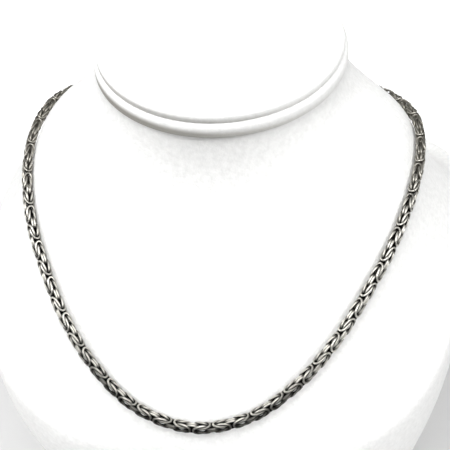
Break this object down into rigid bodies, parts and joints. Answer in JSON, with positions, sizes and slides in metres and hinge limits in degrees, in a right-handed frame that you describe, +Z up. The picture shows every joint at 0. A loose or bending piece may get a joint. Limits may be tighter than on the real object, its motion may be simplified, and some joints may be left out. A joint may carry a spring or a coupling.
{
  "type": "byzantine chain necklace on a neck bust",
  "caption": "Square byzantine chain necklace closed by a barrel clasp at the back, lying on a plain neck bust with a flat round cap.",
  "frame": {"origin": "middle of the object's box at the bottom, which is the plane of the bust's base", "axes": "+Z up, -Y towards the front of the necklace, +X to the viewer's right when the front is seen"},
  "size_m": [0.184, 0.176, 0.202],
  "materials": {
    "white_leatherette": "smooth satin leatherette",
    "silver": "polished silver, darkened in the recesses"
  },
  "bodies": {
    "root": {"neck_bust": "white_leatherette", "neck_cap": "white_leatherette", "chain": "silver", "clasp": "silver", "left_ring": "silver", "right_ring": "silver"}
  },
  "joints": []
}
